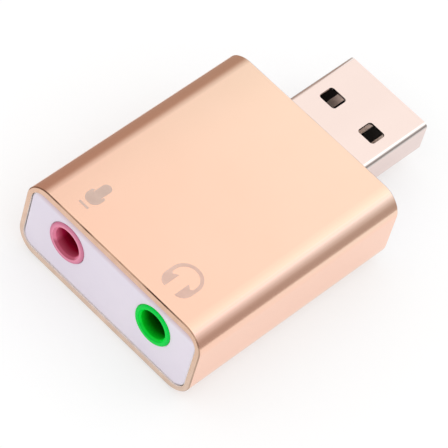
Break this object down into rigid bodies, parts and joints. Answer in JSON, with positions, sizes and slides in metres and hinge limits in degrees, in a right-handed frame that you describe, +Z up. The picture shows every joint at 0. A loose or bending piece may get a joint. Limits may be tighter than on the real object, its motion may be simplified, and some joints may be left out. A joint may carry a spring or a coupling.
{
  "type": "usb sound card",
  "caption": "Flat aluminium sleeve with white end caps, a microphone jack and a headphone jack at one end and a type-A plug at the other, for adding audio to a computer.",
  "frame": {"origin": "under the middle of the whole length and width, on the surface it lies on", "axes": "+X to the right seen from the jacks, +Y from the jacks to the plug, +Z up"},
  "size_m": [0.0262, 0.043, 0.0108],
  "materials": {
    "rose_aluminium": "bead-blasted and anodised rose gold, polished on the end chamfers",
    "white_plastic": "smooth moulded cool white",
    "pink_plastic": "glossy moulded pink",
    "green_plastic": "glossy moulded green",
    "plated_steel": "bright nickel plate on rolled sheet",
    "black_plastic": "moulded black",
    "contact_brass": "thin gold plate",
    "board_laminate": "green solder mask on glass laminate",
    "black_resin": "matt moulded resin",
    "tinned_metal": "bright tin plate",
    "ochre_resin": "moulded resin",
    "tan_ceramic": "fired ceramic",
    "grey_ferrite": "fired ferrite"
  },
  "bodies": {
    "root": {"sleeve": "rose_aluminium", "front_cap": "white_plastic", "rear_cap": "white_plastic", "circuit_board": "board_laminate", "mic_jack_housing": "pink_plastic", "headphone_jack_housing": "green_plastic", "usb_shell": "plated_steel", "usb_tongue": "black_plastic", "codec_chip": "black_resin", "codec_leads": "tinned_metal", "crystal": "tinned_metal", "coupling_capacitors": "ochre_resin", "ceramic_capacitors": "tan_ceramic", "resistors": "black_resin", "ferrite_beads": "grey_ferrite", "mic_jack_sleeve_contact": "contact_brass", "mic_jack_ring_contact": "contact_brass", "mic_jack_tip_contact": "contact_brass", "headphone_jack_sleeve_contact": "contact_brass", "headphone_jack_ring_contact": "contact_brass", "headphone_jack_tip_contact": "contact_brass", "usb_power_contact": "contact_brass", "usb_data_minus_contact": "contact_brass", "usb_data_plus_contact": "contact_brass", "usb_ground_contact": "contact_brass"}
  },
  "joints": []
}
